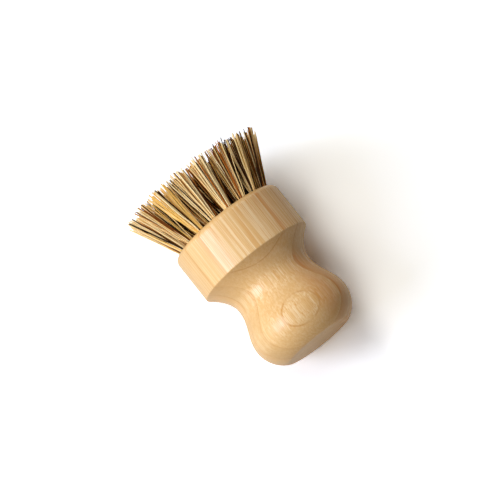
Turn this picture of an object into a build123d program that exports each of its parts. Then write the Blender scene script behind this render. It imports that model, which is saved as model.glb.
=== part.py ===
from build123d import *
import math
import os

# Palm brush, lying on its side on a level surface. All lengths are in mm, +Z is up.
# The knob points along +X and the bristles along -X. The brush rests on the round of the knob
# and on the lowest tips of its two bottom tufts. The origin is on the surface, under the
# middle of the brush.

# Handle: one turned piece of laminated bamboo, with its lengths along the brush's own axis
head_dia = 53.0
head_height = 21.8
neck_dia = 37.4
neck_drop = 12.2
knob_dia = 47.0
knob_rise = 18.3
knob_cap = 12.15
end_dia = 32.0

# Eased rim of the face
face_rim = 1.6

# Pull of the profile's curves, as shares of the lengths that they span
cove_pull_share = 0.5
rise_pull_share = 0.38

# Tuft holes, drilled into the face of the head along the fan of the bristles. They stand in rings,
# the last one at the margin from the side of the head, with at least the pitch between two rings
# and between two holes along a ring
hole_dia = 5.0
hole_depth = 9.0
hole_overrun = 2.0
hole_sides = 10
hole_margin = 5.5
ring_pitch = 6.8
tuft_pitch = 7.4

# Bristles, trimmed to one plane, with tips that are a little uneven
bristle_length = 23.4
tip_dia = 68.4
tuft_tip_dia = 9.6
tip_stagger = 0.8
strand_dia = 0.8
strand_sides = 3
tuft_strands = 9

# Root of a tuft: the fibres are folded round the anchor and packed into the hole
root_fit = 0.1
root_sink = 0.5
root_bury = 0.6

# Anchor: a flat piece of wire across the hole, which holds the fold down
anchor_thickness = 0.4
anchor_height = 1.8
anchor_lift = 1.1
anchor_fit = 0.05

# Depth to which the lowest tips are cut flat where the brush rests on them
floor_cut = 0.5

# The sizes below follow from those above
head_radius = head_dia / 2
neck_radius = neck_dia / 2
knob_radius = knob_dia / 2
end_radius = end_dia / 2
tip_radius = tip_dia / 2
hole_radius = hole_dia / 2
hole_width = hole_dia * math.cos(math.pi / hole_sides)
strand_radius = strand_dia / 2
neck_height = knob_cap + knob_rise
collar_height = neck_height + neck_drop
handle_length = collar_height + head_height
tip_height = handle_length + bristle_length

# Round shoulder of the knob: an arc from its widest place to the edge of the flat end
shoulder_drop = knob_radius - end_radius
shoulder_radius = (shoulder_drop**2 + knob_cap**2) / (2 * shoulder_drop)
shoulder_centre = knob_radius - shoulder_radius

# Rings of tufts: evenly spaced from one tuft in the centre to the ring at the margin
outer_ring_radius = head_radius - hole_margin
rings = int(outer_ring_radius / ring_pitch)
ring_step = outer_ring_radius / rings
ring_tufts = [1] + [int(2 * math.pi * ring * ring_step / tuft_pitch) for ring in range(1, rings + 1)]

# Fan of the bristles: each ring of tufts grows by the same ratio from the face to the tips
tuft_spread = tuft_tip_dia / 2 - strand_radius
tip_ring_radius = tip_radius - tuft_tip_dia / 2
fan_growth = tip_ring_radius / outer_ring_radius
tuft_bundle = hole_width / 2 - root_fit - strand_radius
golden_angle = math.pi * (3 - math.sqrt(5))

# Lean of the brush's axis: a level line touches the knob's shoulder and the lowest tips
lowest_strand = (tip_radius - strand_radius) * math.cos(math.pi / ring_tufts[-1])
rest_radius = lowest_strand + strand_radius - floor_cut
rest_reach = tip_height - knob_cap
rest_rise = rest_radius - shoulder_centre
lean = math.atan2(rest_rise, rest_reach) - math.asin(shoulder_radius / math.hypot(rest_rise, rest_reach))

# Plane of the flat end: its X points up, its Y across, and its Z along the brush to the bristles
end_x = ((tip_height + tip_stagger) * math.cos(lean) + (rest_radius - end_radius) * math.sin(lean)) / 2
end_z = shoulder_radius + shoulder_centre * math.cos(lean) - knob_cap * math.sin(lean)
brush = Plane(
    origin=(end_x, 0, end_z),
    x_dir=(math.sin(lean), 0, math.cos(lean)),
    z_dir=(-math.cos(lean), 0, math.sin(lean)),
)
brush_axis = Axis(brush.origin, brush.z_dir)
profile_plane = Plane(origin=brush.origin, x_dir=brush.x_dir, z_dir=-brush.y_dir)


def on_brush(radius, angle, height):
    """A point at a distance from the brush's axis, an angle round it and a height above the flat end."""
    return brush.from_local_coords((radius * math.cos(angle), radius * math.sin(angle), height))


def ring_places():
    """Distance and angle of each tuft on the face, ring by ring, with each ring even about the lowest line."""
    for ring, tufts in enumerate(ring_tufts):
        for place in range(tufts):
            yield ring * ring_step, math.pi + (place + 0.5) * 2 * math.pi / tufts


def tuft_plane(radius, angle):
    """Plane at the mouth of a tuft's hole: Z along the tuft, X across the direction of the fan."""
    mouth = on_brush(radius, angle, handle_length)
    tip = on_brush(radius * fan_growth, angle, tip_height)
    across = brush.from_local_coords((-math.sin(angle), math.cos(angle), 0)) - brush.origin
    return Plane(origin=mouth, x_dir=across, z_dir=tip - mouth)


def strand_line(radius, angle, rank):
    """Foot, buried in the root, and tip of one strand. The strands of a tuft lie in a spiral, rank 0 outermost."""
    share = math.sqrt(1 - rank / (tuft_strands - 0.5))
    turn = rank * golden_angle
    outward = share * math.cos(turn)
    sideways = share * math.sin(turn)
    ends = []
    for ring_radius, bundle, height in (
        (radius, tuft_bundle, handle_length),
        (radius * fan_growth, tuft_spread, tip_height),
    ):
        reach = ring_radius + bundle * outward
        swing = bundle * sideways
        ends.append(on_brush(math.hypot(reach, swing), angle + math.atan2(swing, reach), height))
    mouth, tip = ends
    climb = (tip - mouth) / bristle_length
    return mouth - climb * (root_sink + root_bury), tip + climb * (tip_stagger * math.sin(turn))


places = list(ring_places())
tuft_planes = [tuft_plane(radius, angle) for radius, angle in places]
anchor_planes = [plane.offset(anchor_lift + anchor_height / 2 - hole_depth) for plane in tuft_planes]

os.makedirs("parts", exist_ok=True)

# Handle: the turned profile from the flat end over the knob, neck and head, with the drilled holes
with BuildPart() as handle:
    with BuildSketch(profile_plane):
        with BuildLine():
            Line((0, 0), (end_radius, 0))
            TangentArc((knob_radius, knob_cap), (end_radius, 0), tangent=(0, -1))
            Bezier(
                (knob_radius, knob_cap),
                (knob_radius, knob_cap + knob_rise * rise_pull_share),
                (neck_radius, neck_height - knob_rise * rise_pull_share),
                (neck_radius, neck_height),
            )
            Bezier(
                (neck_radius, neck_height),
                (neck_radius, neck_height + neck_drop * cove_pull_share),
                (head_radius, collar_height),
            )
            Polyline(
                (head_radius, collar_height),
                (head_radius, handle_length),
                (0, handle_length),
                (0, 0),
            )
        make_face()
    revolve(axis=brush_axis)
    chamfer(handle.edges().filter_by(GeomType.CIRCLE).sort_by(brush_axis)[-1], face_rim)
    with BuildSketch(*[plane.offset(hole_overrun) for plane in tuft_planes]):
        RegularPolygon(hole_radius, hole_sides)
    extrude(amount=-hole_overrun - hole_depth, mode=Mode.SUBTRACT)
handle.part.label = "handle"
export_step(handle.part, "parts/handle.step")

# Anchors: one flat wire across the bottom of each hole
with BuildPart() as tuft_anchors:
    with Locations(*anchor_planes):
        Box(hole_width - 2 * anchor_fit, anchor_thickness, anchor_height)
tuft_anchors.part.label = "tuft_anchors"
export_step(tuft_anchors.part, "parts/tuft_anchors.step")


def strand_plane(foot, tip, length):
    """Plane at the start of a strand that ends at its tip with the given length."""
    along = (tip - foot).normalized()
    return Plane(origin=tip - along * length, x_dir=brush.x_dir.cross(along), z_dir=along)


# Tufts: a root that fills the hole round its anchor up to just below the face, and its fanned
# strands, cut flat at the floor
root_top = brush.offset(handle_length - root_sink)
for number, (radius, angle) in enumerate(places, start=1):
    strands = [strand_line(radius, angle, rank) for rank in range(tuft_strands)]
    strand_length = max((tip - foot).length for foot, tip in strands)
    with BuildPart() as tuft:
        with BuildSketch(tuft_planes[number - 1].offset(hole_overrun)):
            RegularPolygon(hole_radius - root_fit, hole_sides)
        extrude(amount=root_fit - hole_overrun - hole_depth)
        split(bisect_by=root_top, keep=Keep.BOTTOM)
        with Locations(anchor_planes[number - 1]):
            Box(
                hole_dia,
                anchor_thickness + 2 * anchor_fit,
                anchor_height + 2 * anchor_fit,
                mode=Mode.SUBTRACT,
            )
        with BuildSketch(*[strand_plane(foot, tip, strand_length) for foot, tip in strands]):
            RegularPolygon(strand_radius, strand_sides)
        extrude(amount=strand_length)
        split(bisect_by=Plane.XY)
    tuft.part.label = f"tuft_{number:02d}"
    export_step(tuft.part, f"parts/{tuft.part.label}.step")
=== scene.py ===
import math

import bmesh
import bpy
import numpy as np
from mathutils import Matrix, Vector


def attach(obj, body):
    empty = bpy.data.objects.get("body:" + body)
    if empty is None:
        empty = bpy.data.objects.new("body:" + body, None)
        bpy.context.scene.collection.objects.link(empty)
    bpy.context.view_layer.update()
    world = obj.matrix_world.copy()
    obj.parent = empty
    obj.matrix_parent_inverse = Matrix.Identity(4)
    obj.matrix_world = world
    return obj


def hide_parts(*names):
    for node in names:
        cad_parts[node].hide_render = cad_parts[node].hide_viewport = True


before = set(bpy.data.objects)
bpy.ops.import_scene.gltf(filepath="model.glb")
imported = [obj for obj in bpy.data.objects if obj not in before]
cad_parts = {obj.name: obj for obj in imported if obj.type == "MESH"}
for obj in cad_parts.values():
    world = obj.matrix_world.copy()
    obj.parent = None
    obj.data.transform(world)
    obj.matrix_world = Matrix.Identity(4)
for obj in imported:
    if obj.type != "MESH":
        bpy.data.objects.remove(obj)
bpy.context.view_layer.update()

MM = 0.001
GOLDEN_ANGLE = math.pi * (3 - math.sqrt(5))
NOISE_MIDDLE = 0.5

# The brush's own sizes, in mm: heights are measured along its axis from the flat end of the knob
HEAD_RADIUS, NECK_RADIUS, KNOB_RADIUS, END_RADIUS = 26.5, 18.7, 23.5, 16.0
KNOB_HEIGHT, NECK_HEIGHT, COLLAR_HEIGHT, FACE_HEIGHT, TIP_HEIGHT = 12.15, 30.45, 42.65, 64.45, 87.85
COVE_PULL, RISE_PULL = 0.5, 0.38
RIM_ROUNDING, COLLAR_ROUNDING, END_ROUNDING = 2.75, 0.3, 0.5
HOLE_RADIUS, HOLE_DEPTH, HOLE_OVERRUN = 2.42, 9.0, 2.0

# Rings of tufts round the one in the centre, and the growth of each ring from the face to the tips
RING_STEP, RING_TUFTS = 7.0, (1, 5, 11, 17)
FAN_GROWTH = 1.4

# Where the brush lies: the centre of its flat end and the lean of its axis
END_CENTRE = (45.046866, 0.0, 21.906960)
LEAN = math.radians(7.165994)
TO_FRAME = Matrix((
    (math.sin(LEAN), 0.0, -math.cos(LEAN), END_CENTRE[0] * MM),
    (0.0, 1.0, 0.0, END_CENTRE[1] * MM),
    (math.cos(LEAN), 0.0, math.sin(LEAN), END_CENTRE[2] * MM),
    (0.0, 0.0, 0.0, 1.0),
))


# Node trees


def linear(colour):
    """A colour written in sRGB steps of 255, as a linear colour with alpha."""
    shares = [step / 255 for step in colour]
    return [s / 12.92 if s <= 0.04045 else ((s + 0.055) / 1.055) ** 2.4 for s in shares] + [1.0]


class Tree:
    """A short way to write a node tree: numbers and sockets go in, sockets come out."""

    def __init__(self, owner):
        owner.use_nodes = True
        self.nodes, self.links = owner.node_tree.nodes, owner.node_tree.links
        self.nodes.clear()

    def node(self, kind, inputs=(), **settings):
        made = self.nodes.new(kind)
        for name, value in settings.items():
            setattr(made, name, value)
        for key, value in dict(inputs).items():
            if isinstance(value, bpy.types.NodeSocket):
                self.links.new(value, made.inputs[key])
            else:
                made.inputs[key].default_value = value
        return made

    def math(self, operation, *values):
        return self.node("ShaderNodeMath", enumerate(values), operation=operation).outputs[0]

    def total(self, first, *others):
        for other in others:
            first = self.math("ADD", first, other)
        return first

    def product(self, first, *others):
        for other in others:
            first = self.math("MULTIPLY", first, other)
        return first

    def fade(self, value, low, high, at_low, at_high):
        """A value from low to high, smoothly turned into at_low to at_high."""
        return self.node(
            "ShaderNodeMapRange",
            {"Value": value, "From Min": low, "From Max": high, "To Min": at_low, "To Max": at_high},
            interpolation_type="SMOOTHSTEP",
        ).outputs[0]

    def scaled(self, vector, factor):
        return self.node("ShaderNodeVectorMath", {0: vector, "Scale": factor}, operation="SCALE").outputs[0]

    def stretched(self, vector, factors):
        return self.node("ShaderNodeVectorMath", {0: vector, 1: factors}, operation="MULTIPLY").outputs[0]

    def noise(self, vector, cells, detail=2.0, roughness=0.5):
        """Noise with so many cells a unit along each axis of the vector."""
        inputs = {
            "Vector": self.stretched(vector, cells),
            "Scale": 1.0,
            "Detail": detail,
            "Roughness": roughness,
        }
        return self.node("ShaderNodeTexNoise", inputs).outputs["Fac"]

    def mix(self, share, first, second):
        """Two colours mixed: they are inputs 6 and 7 of the mix node, and the result is its output 2."""
        return self.node("ShaderNodeMix", {0: share, 6: first, 7: second}, data_type="RGBA").outputs[2]

    def is_seen(self):
        """1 for the rays that show a surface to the camera, straight or through gloss and glass."""
        path = self.node("ShaderNodeLightPath").outputs
        in_gloss = self.math("MAXIMUM", path["Is Camera Ray"], path["Is Glossy Ray"])
        return self.math("MAXIMUM", in_gloss, path["Is Transmission Ray"])

    def end(self, shader, inputs, output="ShaderNodeOutputMaterial"):
        """Ends the tree with a shader."""
        self.node(output, {"Surface": self.node(shader, inputs).outputs[0]})


# Bamboo. Its strips are stacked across the brush's axis: the turn of the stack about it in degrees,
# and in mm the first glue plane, the pitch and how far the planes waver
STRIP_TURN, STRIP_START, STRIP_PITCH, STRIP_WAVER = 7.0, 0.5, 7.15, 0.5
BAMBOO_PALE, BAMBOO_WARM, BAMBOO_LINE = (240, 207, 158), (224, 180, 118), (214, 156, 84)
# The bark colour is also the colour of the painted shade in the brown zone away from the lamps.
BAMBOO_BUNDLE, BAMBOO_BARK_AND_SHADE, BAMBOO_GLUE = (214, 154, 80), (202, 126, 6), (192, 126, 30)
BUNDLE_SHARE, BARK_SHARE, BROWN_SHARE, GLUE_SHARE = 0.6, 0.95, 0.52, 0.6

# Cells a mm of each pattern: across the strips, along them, and along the brush
WAVER_CELLS, PATCH_CELLS = (0.05, 0.05, 0.02), (0.5, 0.12, 0.03)
BUNDLE_CELLS, HAIR_CELLS, STREAK_CELLS = (1.5, 1.5, 0.03), (2.8, 2.8, 0.04), (1.1, 1.1, 0.014)
CLOUD_CELLS, SPECK_CELLS = (0.09, 0.09, 0.05), (1.9, 1.9, 1.9)

# Fades: the first two numbers are the values between which a fade lies, and the last two its ends
CLEAR_BY_SLANT = (0.12, 0.5, 1.0, 0.4)
GLUE_BY_DISTANCE, GLUE_BY_PATCH = (0.06, 0.27, 1.0, 0.0), (0.4, 0.6, 0.25, 1.0)
BARK_BY_DISTANCE, BARK_BY_PATCH = (0.8, 1.4, 1.0, 0.0), (0.3, 0.55, 0.6, 1.0)
BARK_FROM_MIDDLE, BARK_TO_RIM = (10.0, 13.0, 0.1, 1.0), (18.5, 22.0, 1.0, 0.4)
# The bark band is weaker on the lit side and full on the side away from the lamps: painted shade.
BARK_SHADE_BY_SIDE, BARK_BY_CLEARNESS = (-12.0, 8.0, 0.18, 1.0), (0.5, 0.95, 0.25, 1.0)
# The brown zone lies on the side of knob and neck away from the lamps: partly the strips' own brown, partly
# painted shade.
BROWN_BY_DISTANCE, BROWN_SHADE_BY_SIDE = (3.0, 9.0, 1.0, 0.0), (4.0, 14.0, 0.0, 1.0)
BROWN_BY_HEIGHT = (30.0, 38.0, 1.0, 0.0)
BUNDLE_EDGE, LINE_BY_HAIR = (-0.16, 0.04, 1.0, 0.0), (0.47, 0.68, 0.0, 0.95)
# On the lit side the grain is calmer and paler: painted light.
LIT_WASH_BY_SIDE, WARM_BY_STREAK = (-18.0, -9.0, 0.5, 1.0), (0.38, 0.62, -0.5, 0.5)
WARM_BY_CLEARNESS, TONE_BY_CLEARNESS = (0.4, 1.0, 0.85, 0.5), (0.4, 1.0, 0.825, 0.86)

# Reach of a fibre bundle, its growth through a strip towards the bark, and the weights of the tone
BUNDLE_REACH, BUNDLE_GROWTH = 0.24, 0.10
STRIP_TONE, CLOUD_TONE, SPECK_TONE = 0.07, 0.10, 0.12
BAMBOO_ROUGHNESS, HAIR_ROUGHNESS, HAIR_HEIGHT = 0.42, 0.12, 0.02


def bamboo_place(tree, place):
    """A place in the frame, as one in mm across the strips, along them and along the brush."""
    on_axis = tree.node(
        "ShaderNodeMapping",
        {"Vector": place, "Location": TO_FRAME.translation, "Rotation": TO_FRAME.to_euler()},
        vector_type="TEXTURE",
    ).outputs[0]
    return tree.node(
        "ShaderNodeVectorRotate",
        {"Vector": tree.scaled(on_axis, 1 / MM), "Angle": math.radians(STRIP_TURN)},
        rotation_type="Z_AXIS",
    ).outputs[0]


def bamboo_clearness(tree, normal):
    """Full where the surface runs along the grain, and less where the form cuts it at a slant."""
    slant = tree.node(
        "ShaderNodeVectorMath", {0: normal, 1: TO_FRAME.col[2].xyz}, operation="DOT_PRODUCT"
    ).outputs["Value"]
    return tree.fade(tree.math("ABSOLUTE", slant), *CLEAR_BY_SLANT)


def bamboo_strips(tree, across):
    """Share of the way through a strip, the strip's random number, and distances to the glue and bark."""
    count = tree.math("DIVIDE", tree.math("SUBTRACT", across, STRIP_START), STRIP_PITCH)
    share = tree.math("FRACT", count)
    number = tree.math("FLOOR", count)
    chance = tree.node("ShaderNodeTexWhiteNoise", {"W": number}, noise_dimensions="1D").outputs[0]
    into_strip = tree.product(share, STRIP_PITCH)
    to_bark = tree.math("SUBTRACT", STRIP_PITCH, into_strip)
    return share, chance, tree.math("MINIMUM", into_strip, to_bark), to_bark


def bark_colours(tree, colour, along, height, to_bark, patches, clear):
    """The brown zone on one side of knob and neck, and each strip's dense side towards the bark.
    Both are partly the bamboo's own colour and partly painted shade, stronger away from the lamps.
    """
    # Painted shade, partly the strips' own brown: a brown zone on the side away from the lamps.
    brown_and_shade = tree.product(
        tree.fade(to_bark, *BROWN_BY_DISTANCE),
        tree.fade(along, *BROWN_SHADE_BY_SIDE),
        tree.fade(height, *BROWN_BY_HEIGHT),
        BROWN_SHARE,
    )
    from_middle = tree.math("ABSOLUTE", along)
    bark = tree.product(
        tree.fade(to_bark, *BARK_BY_DISTANCE),
        tree.fade(from_middle, *BARK_FROM_MIDDLE),
        tree.fade(patches, *BARK_BY_PATCH),
        # Painted shade: the band is weaker on the lit side.
        tree.fade(along, *BARK_SHADE_BY_SIDE),
        tree.fade(from_middle, *BARK_TO_RIM),
        tree.fade(clear, *BARK_BY_CLEARNESS),
        BARK_SHARE,
    )
    colour = tree.mix(brown_and_shade, colour, linear(BAMBOO_BARK_AND_SHADE))
    return tree.mix(bark, colour, linear(BAMBOO_BARK_AND_SHADE))


def grain_colours(tree, place, share, hairs, calm_and_lit_wash, clear):
    """Pale and warm streaks, thin lines, and fibre bundles: lines on the sides and dots on the ends."""
    streaks = tree.noise(place, STREAK_CELLS, detail=3.0, roughness=0.55)
    # Streaks, lines and bundles all weaken on the lit side, as painted light, and at slanted cuts.
    warmth = tree.total(
        tree.product(tree.fade(streaks, *WARM_BY_STREAK), calm_and_lit_wash),
        tree.fade(clear, *WARM_BY_CLEARNESS),
    )
    colour = tree.mix(warmth, linear(BAMBOO_PALE), linear(BAMBOO_WARM))
    lines = tree.product(tree.fade(hairs, *LINE_BY_HAIR), calm_and_lit_wash)
    colour = tree.mix(lines, colour, linear(BAMBOO_LINE))
    from_bundle = tree.node(
        "ShaderNodeTexVoronoi",
        {"Vector": tree.stretched(place, BUNDLE_CELLS), "Scale": 1.0, "Randomness": 1.0},
        feature="F1",
    ).outputs["Distance"]
    reach = tree.total(tree.product(share, BUNDLE_GROWTH), BUNDLE_REACH)
    bundle = tree.fade(tree.math("SUBTRACT", from_bundle, reach), *BUNDLE_EDGE)
    return tree.mix(tree.product(bundle, BUNDLE_SHARE, calm_and_lit_wash), colour, linear(BAMBOO_BUNDLE))


def bamboo_colour(tree, place, hairs, clear):
    waver = tree.noise(place, WAVER_CELLS, detail=1.0)
    across, along, height = tree.node("ShaderNodeSeparateXYZ", {0: place}).outputs
    across = tree.total(across, tree.product(tree.math("SUBTRACT", waver, NOISE_MIDDLE), STRIP_WAVER))
    share, chance, to_glue, to_bark = bamboo_strips(tree, across)
    patches = tree.noise(place, PATCH_CELLS)
    # The grain is calm where the form cuts it at a slant, and calmer and paler on the lit side: painted
    # light.
    calm_and_lit_wash = tree.product(clear, tree.fade(along, *LIT_WASH_BY_SIDE))

    colour = grain_colours(tree, place, share, hairs, calm_and_lit_wash, clear)
    colour = bark_colours(tree, colour, along, height, to_bark, patches, clear)
    glue = tree.product(
        tree.fade(to_glue, *GLUE_BY_DISTANCE), tree.fade(patches, *GLUE_BY_PATCH), GLUE_SHARE
    )
    colour = tree.mix(glue, colour, linear(BAMBOO_GLUE))
    tone = tree.total(
        tree.product(chance, STRIP_TONE),
        tree.product(tree.noise(place, CLOUD_CELLS), CLOUD_TONE),
        tree.product(tree.noise(place, SPECK_CELLS, roughness=0.7), SPECK_TONE),
        tree.fade(clear, *TONE_BY_CLEARNESS),
    )
    return tree.scaled(colour, tone)


def bamboo_material():
    """Laminated bamboo under a satin lacquer. Its grain is solid, and the turned form cuts it."""
    material = bpy.data.materials.new("bamboo_lacquered")
    tree = Tree(material)
    surface = tree.node("ShaderNodeTexCoord").outputs
    place = bamboo_place(tree, surface["Object"])
    hairs = tree.noise(place, HAIR_CELLS, detail=3.0, roughness=0.6)
    bump = {"Height": hairs, "Strength": 0.2, "Distance": HAIR_HEIGHT * MM}
    tree.end("ShaderNodeBsdfPrincipled", {
        "Base Color": bamboo_colour(tree, place, hairs, bamboo_clearness(tree, surface["Normal"])),
        "Roughness": tree.total(tree.product(hairs, HAIR_ROUGHNESS), BAMBOO_ROUGHNESS),
        "IOR": 1.5,
        "Specular IOR Level": 0.1,
        "Coat Weight": 1.0,
        "Coat Roughness": 0.25,
        "Coat IOR": 1.5,
        "Normal": tree.node("ShaderNodeBump", bump).outputs[0],
    })
    return material


# Plant fibre: the tone's stops from pale straw over golden, tan and rusty to nearly black
FIBRE_TONES = (
    (0.0, (255, 234, 186)),
    (0.30, (248, 212, 142)),
    (0.52, (242, 200, 112)),
    (0.66, (208, 160, 96)),
    (0.76, (182, 108, 42)),
    (0.88, (78, 44, 18)),
    (1.0, (20, 13, 8)),
)
FIBRE_SPECKLE_CELLS, FIBRE_GRAIN_CELLS = (2.0, 2.0, 0.35), (7.0, 7.0, 0.8)
FIBRE_BRIGHTNESS, SPECKLE_BRIGHTNESS = 0.8, 0.6
FIBRE_ROUGHNESS, GRAIN_ROUGHNESS, GRAIN_HEIGHT = 0.55, 0.2, 0.03


def fibre_material():
    """Dry plant fibre. Each fibre's attribute picks its tone."""
    material = bpy.data.materials.new("plant_fibre")
    tree = Tree(material)
    tone = tree.node("ShaderNodeAttribute", attribute_name="fibre_tone").outputs["Fac"]
    ramp = tree.node("ShaderNodeValToRGB", {0: tone})
    stops = ramp.color_ramp.elements
    while len(stops) < len(FIBRE_TONES):
        stops.new(0.5)
    for stop, (at, colour) in zip(stops, FIBRE_TONES):
        stop.position, stop.color = at, linear(colour)
    place = tree.scaled(tree.node("ShaderNodeTexCoord").outputs["Object"], 1 / MM)
    speckle = tree.noise(place, FIBRE_SPECKLE_CELLS, detail=3.0, roughness=0.6)
    grain = tree.noise(place, FIBRE_GRAIN_CELLS)
    brightness = tree.total(tree.product(speckle, SPECKLE_BRIGHTNESS), FIBRE_BRIGHTNESS)
    bump = {"Height": grain, "Strength": 0.4, "Distance": GRAIN_HEIGHT * MM}
    tree.end("ShaderNodeBsdfPrincipled", {
        "Base Color": tree.scaled(ramp.outputs["Color"], brightness),
        "Roughness": tree.total(tree.product(grain, GRAIN_ROUGHNESS), FIBRE_ROUGHNESS),
        "IOR": 1.45,
        "Specular IOR Level": 0.1,
        "Normal": tree.node("ShaderNodeBump", bump).outputs[0],
    })
    return material


# Galvanised flat wire of the anchors: cells a metre of its blotches, and their colours and roughness
BLOTCH_CELLS = (900.0, 900.0, 900.0)
WIRE_DULL, WIRE_BRIGHT = (150, 150, 148), (196, 196, 192)
ROUGH_BY_BLOTCH = (0.3, 0.7, 0.32, 0.5)


def wire_material():
    material = bpy.data.materials.new("galvanised_wire")
    tree = Tree(material)
    blotches = tree.noise(tree.node("ShaderNodeTexCoord").outputs["Object"], BLOTCH_CELLS, detail=3.0)
    tree.end("ShaderNodeBsdfPrincipled", {
        "Base Color": tree.mix(blotches, linear(WIRE_DULL), linear(WIRE_BRIGHT)),
        "Metallic": 1.0,
        "Roughness": tree.fade(blotches, *ROUGH_BY_BLOTCH),
    })
    return material


bamboo, fibre, wire = bamboo_material(), fibre_material(), wire_material()


# Handle: the turned body, with its drilled tuft holes

# Steps of the profile's curves, the points of the shoulder that the end's rounding cuts, steps of
# the turning, and sides of a hole
SHOULDER_STEPS, END_STEPS, RISE_STEPS, COVE_STEPS, COLLAR_STEPS, RIM_STEPS = 34, 7, 44, 40, 6, 14
END_CUT = 2
TURN_STEPS, HOLE_SIDES = 240, 28
HANDLE_CREASE = math.radians(32)
# The straight side of the head has rings of its own, clear of its two edges, and so has the flat end
SIDE_RINGS, COLLAR_MARGIN, RIM_MARGIN = 8, 1.0, 0.5
END_MARGIN, FACE_MARGIN = 1.5, 0.12


def arc(centre, radius, start, end, steps):
    """Points of an arc from the angle start to end, in degrees, both ends included."""
    for angle in np.radians(np.linspace(start, end, steps)):
        yield centre[0] + radius * math.cos(angle), centre[1] + radius * math.sin(angle)


def bezier(points, steps):
    """Points of a Bezier curve, both ends included."""
    for t in np.linspace(0, 1, steps):
        level = [np.array(p, float) for p in points]
        while len(level) > 1:
            level = [a * (1 - t) + b * t for a, b in zip(level, level[1:])]
        yield tuple(level[0])


def knob_profile():
    """Radius and height from the middle of the flat end to the widest place of the knob."""
    drop = KNOB_RADIUS - END_RADIUS
    shoulder = (drop**2 + KNOB_HEIGHT**2) / (2 * drop)
    crease = -math.degrees(math.asin(KNOB_HEIGHT / shoulder))
    edge = list(arc((KNOB_RADIUS - shoulder, KNOB_HEIGHT), shoulder, crease, 0, SHOULDER_STEPS))
    rounding = [(END_RADIUS - END_ROUNDING, 0.0), (END_RADIUS, 0.0), edge[END_CUT]]
    flat_end = [(0.0, 0.0), (END_RADIUS - END_MARGIN, 0.0)]
    return flat_end + list(bezier(rounding, END_STEPS)) + edge[END_CUT + 1:]


def neck_profile():
    """Radius and height from the widest place of the knob over the neck to the head's lower edge."""
    rise, cove = NECK_HEIGHT - KNOB_HEIGHT, COLLAR_HEIGHT - NECK_HEIGHT
    collar = (HEAD_RADIUS, COLLAR_HEIGHT)
    rise_curve = list(bezier([
        (KNOB_RADIUS, KNOB_HEIGHT),
        (KNOB_RADIUS, KNOB_HEIGHT + rise * RISE_PULL),
        (NECK_RADIUS, NECK_HEIGHT - rise * RISE_PULL),
        (NECK_RADIUS, NECK_HEIGHT),
    ], RISE_STEPS))
    cove_curve = list(bezier([
        (NECK_RADIUS, NECK_HEIGHT),
        (NECK_RADIUS, NECK_HEIGHT + cove * COVE_PULL),
        collar,
    ], COVE_STEPS))
    rounding = [cove_curve[-2], collar, (HEAD_RADIUS, COLLAR_HEIGHT + COLLAR_ROUNDING)]
    return rise_curve[1:] + cove_curve[1:-1] + list(bezier(rounding, COLLAR_STEPS))[1:]


def head_profile():
    """Radius and height from above the head's lower edge to the middle of the face."""
    rim_centre = (HEAD_RADIUS - RIM_ROUNDING, FACE_HEIGHT - RIM_ROUNDING)
    side = np.linspace(COLLAR_HEIGHT + COLLAR_MARGIN, rim_centre[1] - RIM_MARGIN, SIDE_RINGS)
    face = [(rim_centre[0] - FACE_MARGIN, FACE_HEIGHT), (0.0, FACE_HEIGHT)]
    rim = list(arc(rim_centre, RIM_ROUNDING, 0, 90, RIM_STEPS))
    return [(HEAD_RADIUS, float(height)) for height in side] + rim + face


def lathe(bm, outline, steps):
    """Turns an outline that starts and ends on the axis into a closed mesh, in metres."""
    rings = []
    turn = 2 * math.pi / steps
    for radius, height in outline:
        spokes = range(steps if radius else 1)
        rings.append([
            bm.verts.new((radius * math.cos(i * turn) * MM, radius * math.sin(i * turn) * MM, height * MM))
            for i in spokes
        ])
    for low, high in zip(rings, rings[1:]):
        for i in range(steps):
            j = (i + 1) % steps
            corners = [low[i % len(low)], low[j % len(low)], high[j % len(high)], high[i % len(high)]]
            bm.faces.new(list(dict.fromkeys(corners)))
    bmesh.ops.recalc_face_normals(bm, faces=bm.faces)


def tuft_places():
    """Ring radius in mm and angle of each tuft, in the order of the nodes tuft_01, tuft_02 and so on."""
    for ring, tufts in enumerate(RING_TUFTS):
        for place in range(tufts):
            yield ring * RING_STEP, math.pi + (place + 0.5) * 2 * math.pi / tufts


def on_brush(radius, angle, height):
    return Vector((radius * math.cos(angle), radius * math.sin(angle), height)) * MM


def new_object(name, mesh, material):
    made = bpy.data.objects.new(name, mesh)
    bpy.context.scene.collection.objects.link(made)
    mesh.materials.clear()
    mesh.materials.append(material)
    return made


def placed_object(name, bm):
    """A bamboo object from a mesh that is written in the brush's own frame."""
    bm.transform(TO_FRAME)
    mesh = bpy.data.meshes.new(name)
    bm.to_mesh(mesh)
    bm.free()
    return new_object(name, mesh, bamboo)


def build_drills():
    """One cylinder for each hole, along the fan of its tuft."""
    drills = bmesh.new()
    for radius, angle in tuft_places():
        mouth = on_brush(radius, angle, FACE_HEIGHT)
        along = (on_brush(radius * FAN_GROWTH, angle, TIP_HEIGHT) - mouth).normalized()
        middle = mouth + along * (HOLE_OVERRUN - HOLE_DEPTH) / 2 * MM
        place = Matrix.Translation(middle) @ along.to_track_quat("Z", "X").to_matrix().to_4x4()
        bmesh.ops.create_cone(
            drills,
            cap_ends=True,
            segments=HOLE_SIDES,
            radius1=HOLE_RADIUS * MM,
            radius2=HOLE_RADIUS * MM,
            depth=(HOLE_DEPTH + HOLE_OVERRUN) * MM,
            matrix=place,
        )
    return placed_object("drills", drills)


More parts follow.
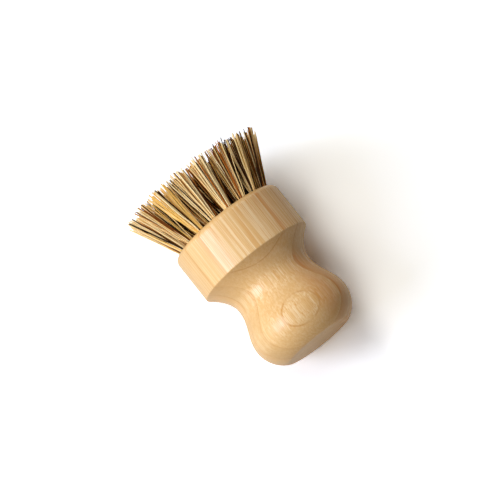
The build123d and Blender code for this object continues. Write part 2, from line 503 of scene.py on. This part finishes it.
def build_handle():
    body = bmesh.new()
    lathe(body, knob_profile() + neck_profile() + head_profile(), TURN_STEPS)
    turned = placed_object("handle_turned", body)
    drills = build_drills()
    cut = turned.modifiers.new("holes", "BOOLEAN")
    cut.operation, cut.object, cut.solver = "DIFFERENCE", drills, "EXACT"
    bpy.context.view_layer.update()
    evaluated = turned.evaluated_get(bpy.context.evaluated_depsgraph_get())
    finished = bpy.data.meshes.new_from_object(evaluated)
    turned.modifiers.clear()
    turned.data = finished
    bpy.data.objects.remove(drills)
    finished.polygons.foreach_set("use_smooth", [True] * len(finished.polygons))
    finished.set_sharp_from_angle(angle=HANDLE_CREASE)
    return turned


handle = build_handle()
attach(handle, "root")
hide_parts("handle")


# Tufts: stiff fibres packed into each hole, fanned out and trimmed flat. Lengths are in mm

FIBRES = 44
FIBRE_RINGS, FIBRE_SIDES = 7, 5
FIBRE_SEED, FIBRE_CREASE = 4100, math.radians(80)
ROOT_DEPTH = 3.0
MOUTH_SPREAD, TIP_SPREAD = 1.85, 5.1
# Share of its radius by which a fibre keeps inside the spread at the mouth
MOUTH_SHARE = 0.5
# Farthest reach of a tip from the axis, and the gap between the lowest fibres and the floor
OUTER_LIMIT, FLOOR_GAP = 34.1, 0.15

# Radius and flattening of a fibre, and the shares of its radius at places from its foot to its tip
FIBRE_RADIUS, FLATTENING = (0.2, 0.36), (0.65, 1.0)
TAPER_PLACES, TAPER_SHARES = (0.0, 0.4, 1.0), (0.75, 1.0, 0.85)
# How far a fibre leaves its place in the tuft's spiral: in shares of the radius, and in radians
SPREAD_DRIFT, TURN_DRIFT = 0.03, 0.15
# Range of a tuft's fan, stray of the tips, and the share of loose fibres with their greater stray
FAN_RANGE, STRAY, LOOSE_SHARE, LOOSE_FACTOR = (0.88, 1.1), 0.55, 0.12, 3.2
# Unevenness of the trim among fibres and among tufts, the share and amount of short ones, and limits
TRIM_DRIFT, TUFT_DRIFT, SHORT_SHARE, SHORT_BY, TRIM_LIMITS = 0.55, 0.25, 0.06, 1.6, (-3.0, 0.9)
BOW, KINK = 0.28, 0.10

# Ranges of the tone for straw, golden, tan, rusty, brown and black fibres
TONE_BANDS = ((0.0, 0.26), (0.45, 0.56), (0.6, 0.7), (0.73, 0.8), (0.84, 0.92), (0.95, 1.0))
# Shares of these fibres, for plain tufts and for those that stand out
MIXED = (0.62, 0.12, 0.08, 0.04, 0.08, 0.06)
GOLDEN = (0.36, 0.58, 0.03, 0.0, 0.02, 0.01)
PALE = (0.72, 0.10, 0.04, 0.06, 0.05, 0.03)
# The dark mix is partly the fibres' own dark colour and partly painted shade.
DARK_AND_SHADE_MIX = (0.42, 0.10, 0.10, 0.08, 0.14, 0.16)
RUSTY = (0.52, 0.10, 0.10, 0.14, 0.09, 0.05)
STREAKED = (0.66, 0.08, 0.04, 0.08, 0.08, 0.06)
# The tufts of the inner rings, 1 to 17, take a darker mix: painted shade, as they stand in the shade of the
# outer ring.
PAINTED_SHADE_INNER = (0.22, 0.08, 0.12, 0.08, 0.24, 0.26)
TUFT_MIX = {number: PAINTED_SHADE_INNER for number in range(1, 18)}
TUFT_MIX.update({19: RUSTY, 20: PALE, 21: PALE, 22: PALE, 24: GOLDEN, 25: STREAKED, 26: STREAKED})
# Tufts 27 to 29, on the side away from the lamps, take the dark mix: partly their own dark fibres, partly
# painted shade.
TUFT_MIX.update({27: DARK_AND_SHADE_MIX, 28: DARK_AND_SHADE_MIX, 29: DARK_AND_SHADE_MIX, 32: STREAKED, 34: RUSTY})
# Change of the shares towards the middle of a tuft, as painted shade of its core, and the step and drift
# with which fibres are dealt
PAINTED_SHADE_MIDDLE = np.array([-0.5, -0.5, 0.0, 0.0, 0.5, 0.5])
DEAL_STEP, DEAL_DRIFT = math.sqrt(2), 0.1


def fibre_curves(radius, angle, rng):
    """Centre lines (fibres, rings, 3) in mm in the brush's own frame, and radii of a tuft's fibres."""
    share = np.sqrt((np.arange(FIBRES) + 0.5) / FIBRES)
    turn = np.arange(FIBRES) * GOLDEN_ANGLE + rng.uniform(0, 2 * math.pi)
    share = np.clip(share + rng.normal(0, SPREAD_DRIFT, FIBRES), 0, 1)
    turn += rng.normal(0, TURN_DRIFT, FIBRES)
    thick = rng.uniform(*FIBRE_RADIUS, FIBRES)
    outward = np.array([math.cos(angle), math.sin(angle), 0])
    sideways = np.array([-math.sin(angle), math.cos(angle), 0])
    spoke = np.outer(share * np.cos(turn), outward) + np.outer(share * np.sin(turn), sideways)
    packed = MOUTH_SPREAD - thick * MOUTH_SHARE
    mouth = outward * radius + spoke * packed[:, None] + np.array([0, 0, FACE_HEIGHT])
    tip = fibre_tips(outward * radius * FAN_GROWTH, spoke, rng)

    climb = (tip - mouth) / (tip[:, 2] - mouth[:, 2])[:, None]
    foot = mouth - climb * ROOT_DEPTH
    s = np.linspace(0, 1, FIBRE_RINGS)[None, :, None]
    line = foot[:, None, :] * (1 - s) + tip[:, None, :] * s
    bow = rng.normal(0, BOW, (FIBRES, 1, 3)) * np.array([1, 1, 0])
    kink = rng.normal(0, KINK, (FIBRES, 1, 3)) * np.array([1, 1, 0])
    above = np.clip((line[:, :, 2:] - FACE_HEIGHT) / (TIP_HEIGHT - FACE_HEIGHT), 0, 1)
    return line + bow * np.sin(math.pi * above) + kink * np.sin(3 * math.pi * above), thick


def fibre_tips(centre, spoke, rng):
    """Tips of a tuft's fibres round its centre at the tips, trimmed nearly flat."""
    fan = TIP_SPREAD * rng.uniform(*FAN_RANGE)
    stray = rng.normal(0, STRAY, (FIBRES, 2))
    loose = rng.random(FIBRES) < LOOSE_SHARE
    stray[loose] *= LOOSE_FACTOR
    tip = centre + spoke * fan
    tip[:, :2] += stray
    reach = np.hypot(tip[:, 0], tip[:, 1])
    tip[:, :2] *= (np.minimum(reach, OUTER_LIMIT) / np.maximum(reach, 1e-6))[:, None]
    trim = rng.normal(0, TRIM_DRIFT, FIBRES) + rng.normal(0, TUFT_DRIFT)
    trim[rng.random(FIBRES) < SHORT_SHARE] -= SHORT_BY
    tip[:, 2] = TIP_HEIGHT + np.clip(trim, *TRIM_LIMITS)
    return tip


def pick_tones(number, rng):
    """Tones of a tuft's fibres, from its middle to its rim. More of the dark ones go to the middle, as
    painted shade.
    """
    weights = np.array(TUFT_MIX.get(number, MIXED))
    tones = np.empty(FIBRES)
    deal = rng.random()
    for at in range(FIBRES):
        # Painted shade: more dark fibres towards the middle of the tuft.
        shares = weights * (1 + PAINTED_SHADE_MIDDLE * (1 - at / FIBRES))
        deal = (deal + DEAL_STEP + rng.uniform(0, DEAL_DRIFT)) % 1
        band = min(int(np.searchsorted(np.cumsum(shares / shares.sum()), deal)), len(TONE_BANDS) - 1)
        tones[at] = rng.uniform(*TONE_BANDS[band])
    return tones


def fibre_points(line, thick, rng):
    """Corners of the fibres round their centre lines, above the floor, fibre by fibre and ring by ring."""
    to_frame = np.array(TO_FRAME)
    placed = line @ to_frame[:3, :3].T + to_frame[:3, 3] / MM
    placed[:, :, 2] = np.maximum(placed[:, :, 2], thick[:, None] + FLOOR_GAP)
    direction = np.gradient(placed, axis=1)
    direction /= np.linalg.norm(direction, axis=2, keepdims=True)
    side = np.cross(direction, np.array([0.0, 0.0, 1.0]))
    side /= np.linalg.norm(side, axis=2, keepdims=True)
    other = np.cross(direction, side)
    roll = rng.uniform(0, 2 * math.pi, (FIBRES, 1, 1))
    flat = rng.uniform(*FLATTENING, (FIBRES, 1, 1))
    taper = np.interp(np.linspace(0, 1, FIBRE_RINGS), TAPER_PLACES, TAPER_SHARES)[None, :, None]
    corners = []
    for corner in range(FIBRE_SIDES):
        turn = roll + corner * 2 * math.pi / FIBRE_SIDES
        offset = side * np.cos(turn) + other * np.sin(turn) * flat
        corners.append(placed + offset * thick[:, None, None] * taper)
    return np.stack(corners, axis=2).reshape(-1, 3)


def fibre_faces():
    """Faces of closed tubes, as many as a tuft has fibres, over corners in the order of fibre_points."""
    for base in range(0, FIBRES * FIBRE_RINGS * FIBRE_SIDES, FIBRE_RINGS * FIBRE_SIDES):
        last = base + (FIBRE_RINGS - 1) * FIBRE_SIDES
        for low in range(base, last, FIBRE_SIDES):
            for corner in range(FIBRE_SIDES):
                following = (corner + 1) % FIBRE_SIDES
                high = low + FIBRE_SIDES
                yield low + corner, low + following, high + following, high + corner
        yield tuple(base + corner for corner in reversed(range(FIBRE_SIDES)))
        yield tuple(last + corner for corner in range(FIBRE_SIDES))


def build_tuft(number, radius, angle):
    rng = np.random.default_rng(FIBRE_SEED + number)
    line, thick = fibre_curves(radius, angle, rng)
    tones = pick_tones(number, rng)
    points = fibre_points(line, thick, rng) * MM
    mesh = bpy.data.meshes.new(f"tuft_fibres_{number:02d}")
    mesh.from_pydata(points.tolist(), [], list(fibre_faces()))
    tone = mesh.attributes.new("fibre_tone", "FLOAT", "POINT")
    tone.data.foreach_set("value", np.repeat(tones, FIBRE_RINGS * FIBRE_SIDES).astype(np.float32))
    mesh.polygons.foreach_set("use_smooth", [True] * len(mesh.polygons))
    mesh.update()
    mesh.set_sharp_from_angle(angle=FIBRE_CREASE)
    return new_object(mesh.name, mesh, fibre)


for tuft_number, (ring_radius, ring_angle) in enumerate(tuft_places(), start=1):
    tuft = build_tuft(tuft_number, ring_radius, ring_angle)
    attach(tuft, "root")
    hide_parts(f"tuft_{tuft_number:02d}")

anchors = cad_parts["tuft_anchors"]
anchors.data.materials.clear()
anchors.data.materials.append(wire)


# Stage: pale floor, soft light from the left, and the camera

CAMERA_AZIMUTH, CAMERA_ELEVATION = math.radians(51.8), math.radians(68.5)
CAMERA_DISTANCE, CAMERA_LENS, CAMERA_SENSOR, CAMERA_CLIP = 1.6, 273.6, 36.0, (0.05, 50.0)
CAMERA_TARGET = Vector((-2.77, 0.788, 29.1)) * MM
LAMP_DISTANCE = 1.3
# Direction round the picture (0 its right, 90 its top), elevation, size in m, level and tint of each lamp
LAMPS = {
    "softbox": (213, 34, 0.62, 0.4, (0.88, 0.96, 1.18)),
    "low": (197, 16, 0.5, 0.38, (0.92, 1.0, 1.1)),
    "front": (252, 50, 0.6, 0.27, (1.05, 1.02, 0.93)),
    "back": (144, 50, 0.5, 0.275, (1.02, 1.0, 0.95)),
    "top": (180, 70, 0.5, 0.15, (1.07, 1.02, 0.91)),
    "rim": (90, 14, 0.55, 0.12, (1.1, 0.98, 0.84)),
}
# The one lamp whose highlight shows in the lacquer. The others only fill
GLOSS_LAMP = "softbox"
# The pale floor's colour as the camera sees it, as gloss shows it, and as it lights the brush
FLOOR_SEEN, FLOOR_MIRRORED = (1.62, 1.64, 1.68, 1.0), (0.85, 0.78, 0.66, 1.0)
FLOOR_BOUNCE = (0.78, 0.65, 0.47, 1.0)
FLOOR_HALF = 3.0


def build_floor():
    near, far = -FLOOR_HALF, FLOOR_HALF
    mesh = bpy.data.meshes.new("floor")
    mesh.from_pydata([(near, near, 0), (far, near, 0), (far, far, 0), (near, far, 0)], [], [(0, 1, 2, 3)])
    material = bpy.data.materials.new("pale_floor")
    tree = Tree(material)
    camera = tree.node("ShaderNodeLightPath").outputs["Is Camera Ray"]
    unseen = tree.mix(tree.is_seen(), FLOOR_BOUNCE, FLOOR_MIRRORED)
    tree.end("ShaderNodeBsdfDiffuse", {"Color": tree.mix(camera, unseen, FLOOR_SEEN)})
    new_object("floor", mesh, material)


def build_world():
    world = bpy.data.worlds.new("studio")
    bpy.context.scene.world = world
    tree = Tree(world)
    white = {"Color": (1, 1, 1, 1), "Strength": tree.is_seen()}
    tree.end("ShaderNodeBackground", white, output="ShaderNodeOutputWorld")


def build_lamps():
    """Square lamps round the brush. A white surface that faces one shows at about its level."""
    right = Vector((math.cos(CAMERA_AZIMUTH), math.sin(CAMERA_AZIMUTH), 0))
    ahead = Vector((-math.sin(CAMERA_AZIMUTH), math.cos(CAMERA_AZIMUTH), 0))
    for name, (around, elevation, size, level, tint) in LAMPS.items():
        light = bpy.data.lights.new(name, "AREA")
        light.shape, light.size, light.color = "SQUARE", size, tint
        light.energy = level * math.pi**2 * LAMP_DISTANCE**2
        lamp = bpy.data.objects.new(name, light)
        lamp.visible_glossy = name == GLOSS_LAMP
        bpy.context.scene.collection.objects.link(lamp)
        turn, rise = math.radians(around), math.radians(elevation)
        flat = right * math.cos(turn) + ahead * math.sin(turn)
        direction = flat * math.cos(rise) + Vector((0, 0, math.sin(rise)))
        lamp.location = CAMERA_TARGET + direction * LAMP_DISTANCE
        lamp.rotation_euler = (-direction).to_track_quat("-Z", "Y").to_euler()


def build_camera():
    data = bpy.data.cameras.new("camera")
    data.lens, data.sensor_width = CAMERA_LENS, CAMERA_SENSOR
    data.clip_start, data.clip_end = CAMERA_CLIP
    camera = bpy.data.objects.new("camera", data)
    bpy.context.scene.collection.objects.link(camera)
    flat, up = math.cos(CAMERA_ELEVATION), math.sin(CAMERA_ELEVATION)
    back = Vector((math.sin(CAMERA_AZIMUTH) * flat, -math.cos(CAMERA_AZIMUTH) * flat, up))
    camera.location = CAMERA_TARGET + back * CAMERA_DISTANCE
    camera.rotation_euler = (-back).to_track_quat("-Z", "Y").to_euler()
    bpy.context.scene.camera = camera


build_floor()
build_world()
build_lamps()
build_camera()
bpy.context.scene.view_settings.view_transform = "Standard"
